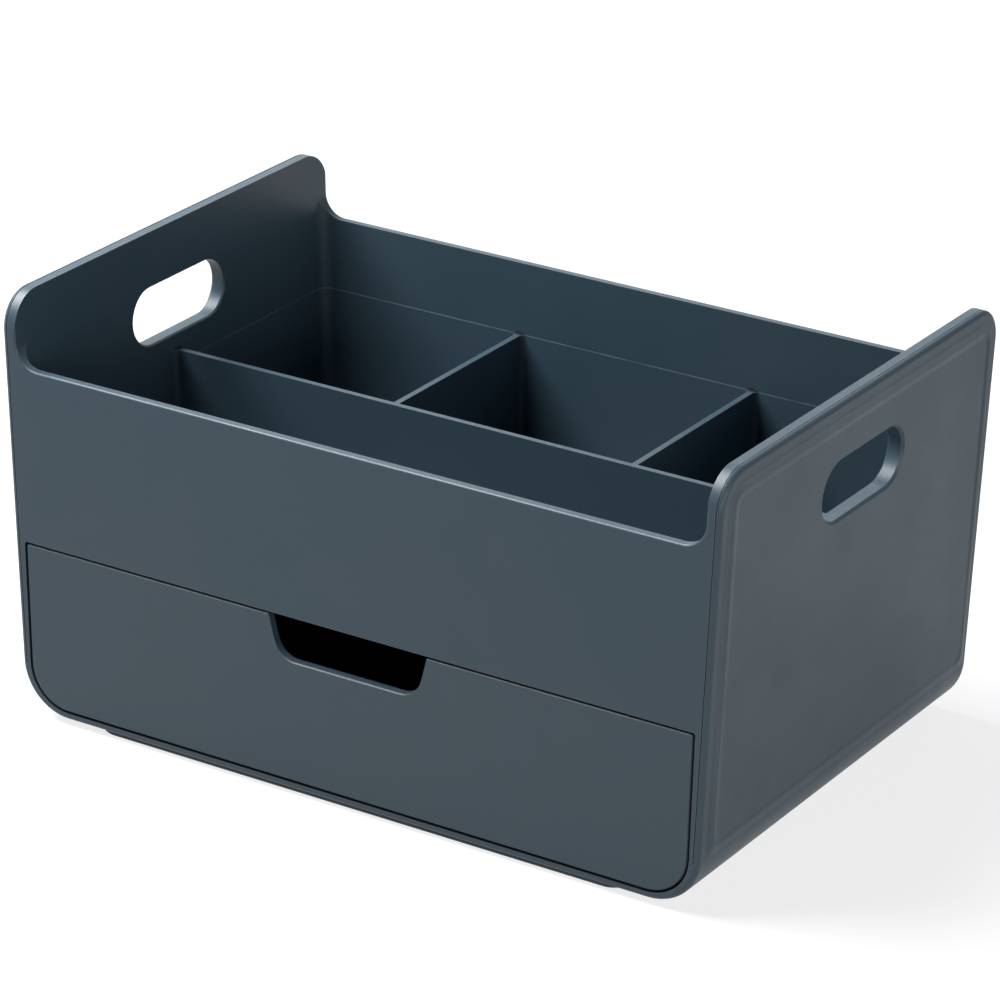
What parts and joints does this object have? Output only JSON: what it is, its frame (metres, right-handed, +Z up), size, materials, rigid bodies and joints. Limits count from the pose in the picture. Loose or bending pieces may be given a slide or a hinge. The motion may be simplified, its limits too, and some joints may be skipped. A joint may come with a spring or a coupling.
{
  "type": "desk caddy with drawer",
  "caption": "Moulded desk caddy with raised end walls and handle slots, a long front compartment, small rear compartments and one full-width flush drawer with a finger notch.",
  "frame": {"origin": "middle of the footprint, on the table", "axes": "+X to the right along the front, the front faces -Y, +Z up"},
  "size_m": [0.2628, 0.1718, 0.144],
  "materials": {
    "body": "satin dark slate moulded plastic",
    "drawer": "satin dark slate moulded plastic",
    "base": "satin dark slate moulded plastic",
    "pad": "matt soft rubber",
    "screw": "zinc-plated steel"
  },
  "bodies": {
    "caddy": {"body_shell": "body", "base_plate": "base", "base_screw_left": "screw", "base_screw_centre": "screw", "base_screw_right": "screw", "foot_pad_front_left": "pad", "foot_pad_front_right": "pad", "foot_pad_rear_left": "pad", "foot_pad_rear_right": "pad"},
    "drawer": {"drawer": "drawer"}
  },
  "joints": [
    {"name": "drawer_slide", "type": "slide", "parent": "caddy", "child": "drawer", "axis": [0, -1, 0], "range_m": [0, 0.115]}
  ]
}
